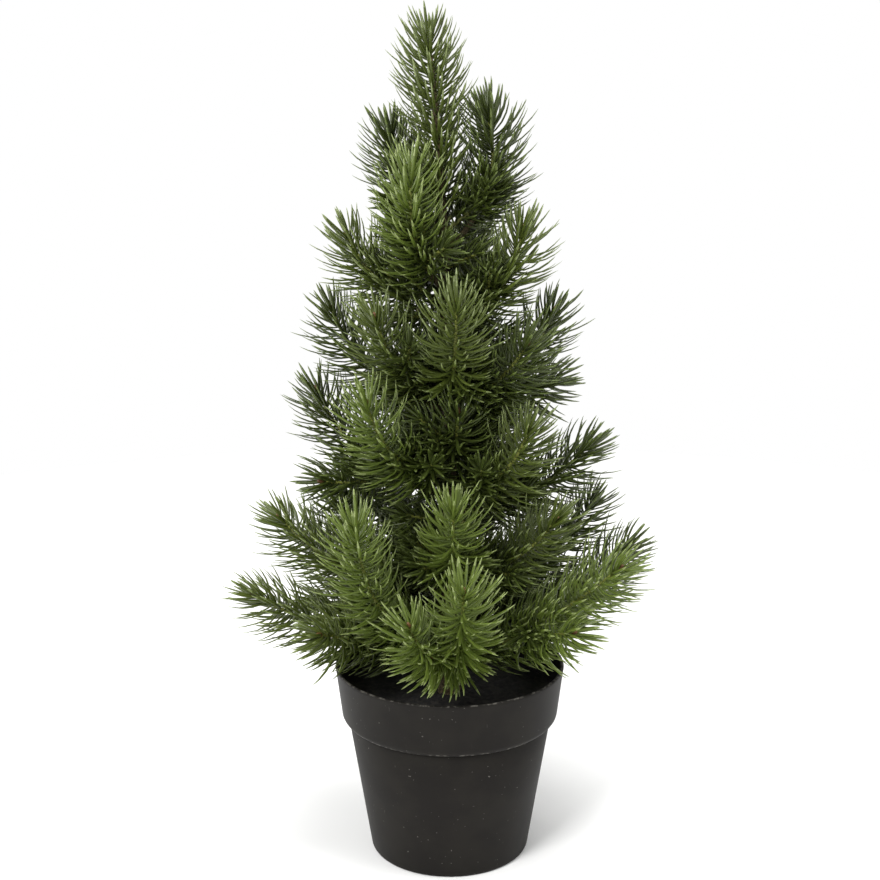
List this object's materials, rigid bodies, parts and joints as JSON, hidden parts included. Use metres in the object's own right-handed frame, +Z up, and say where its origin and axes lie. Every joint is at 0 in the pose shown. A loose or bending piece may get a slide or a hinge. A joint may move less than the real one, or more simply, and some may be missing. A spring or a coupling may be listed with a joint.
{
  "type": "potted artificial fir",
  "caption": "A small artificial fir tree with moulded green needle sprays on wrapped wire stems, standing in a round black plastic nursery pot with a deep collar.",
  "frame": {"origin": "the middle of the pot's flat underside, which stands on the table", "axes": "+Z is up along the tree, -Y faces the viewer of the picture, +X is to that viewer's right"},
  "size_m": [0.2154, 0.1959, 0.4359],
  "materials": {
    "pot": "injection-moulded black polypropylene, matte, with small scuffs and dust specks",
    "pot_fill": "dark rough cast fill",
    "stem": "steel wire wrapped in dull brown-green tape",
    "needles": "moulded soft polyethylene needles, deep to fresh green, with lighter tips"
  },
  "bodies": {
    "root": {"bough_tier1_back": "stem", "bough_tier1_back_left": "stem", "bough_tier1_back_right": "stem", "bough_tier1_front": "stem", "bough_tier1_front_left": "stem", "bough_tier1_front_right": "stem", "bough_tier1_left": "stem", "bough_tier1_right": "stem", "bough_tier2_back": "stem", "bough_tier2_back_left": "stem", "bough_tier2_front": "stem", "bough_tier2_front_right": "stem", "bough_tier2_left": "stem", "bough_tier2_right": "stem", "bough_tier3_back_left": "stem", "bough_tier3_back_right": "stem", "bough_tier3_front": "stem", "bough_tier3_front_left": "stem", "bough_tier3_front_right": "stem", "bough_tier3_left": "stem", "bough_tier3_right": "stem", "bough_tier6_right": "stem", "needles_leader": "needles", "needles_tier1_back": "needles", "needles_tier1_back_left": "needles", "needles_tier1_back_right": "needles", "needles_tier1_front": "needles", "needles_tier1_front_left": "needles", "needles_tier1_front_right": "needles", "needles_tier1_left": "needles", "needles_tier1_right": "needles", "needles_tier2_back": "needles", "needles_tier2_back_left": "needles", "needles_tier2_front": "needles", "needles_tier2_front_right": "needles", "needles_tier2_left": "needles", "needles_tier2_right": "needles", "needles_tier3_back_left": "needles", "needles_tier3_back_right": "needles", "needles_tier3_front": "needles", "needles_tier3_front_left": "needles", "needles_tier3_front_right": "needles", "needles_tier3_left": "needles", "needles_tier3_right": "needles", "needles_tier4_back": "needles", "needles_tier4_front": "needles", "needles_tier4_front_left": "needles", "needles_tier4_front_right": "needles", "needles_tier4_left": "needles", "needles_tier4_right": "needles", "needles_tier5_back": "needles", "needles_tier5_left": "needles", "needles_tier5_right": "needles", "needles_tier6_back_left": "needles", "needles_tier6_front": "needles", "needles_tier6_right": "needles", "pot": "pot", "pot_fill": "pot_fill", "trunk": "stem"}
  },
  "joints": []
}
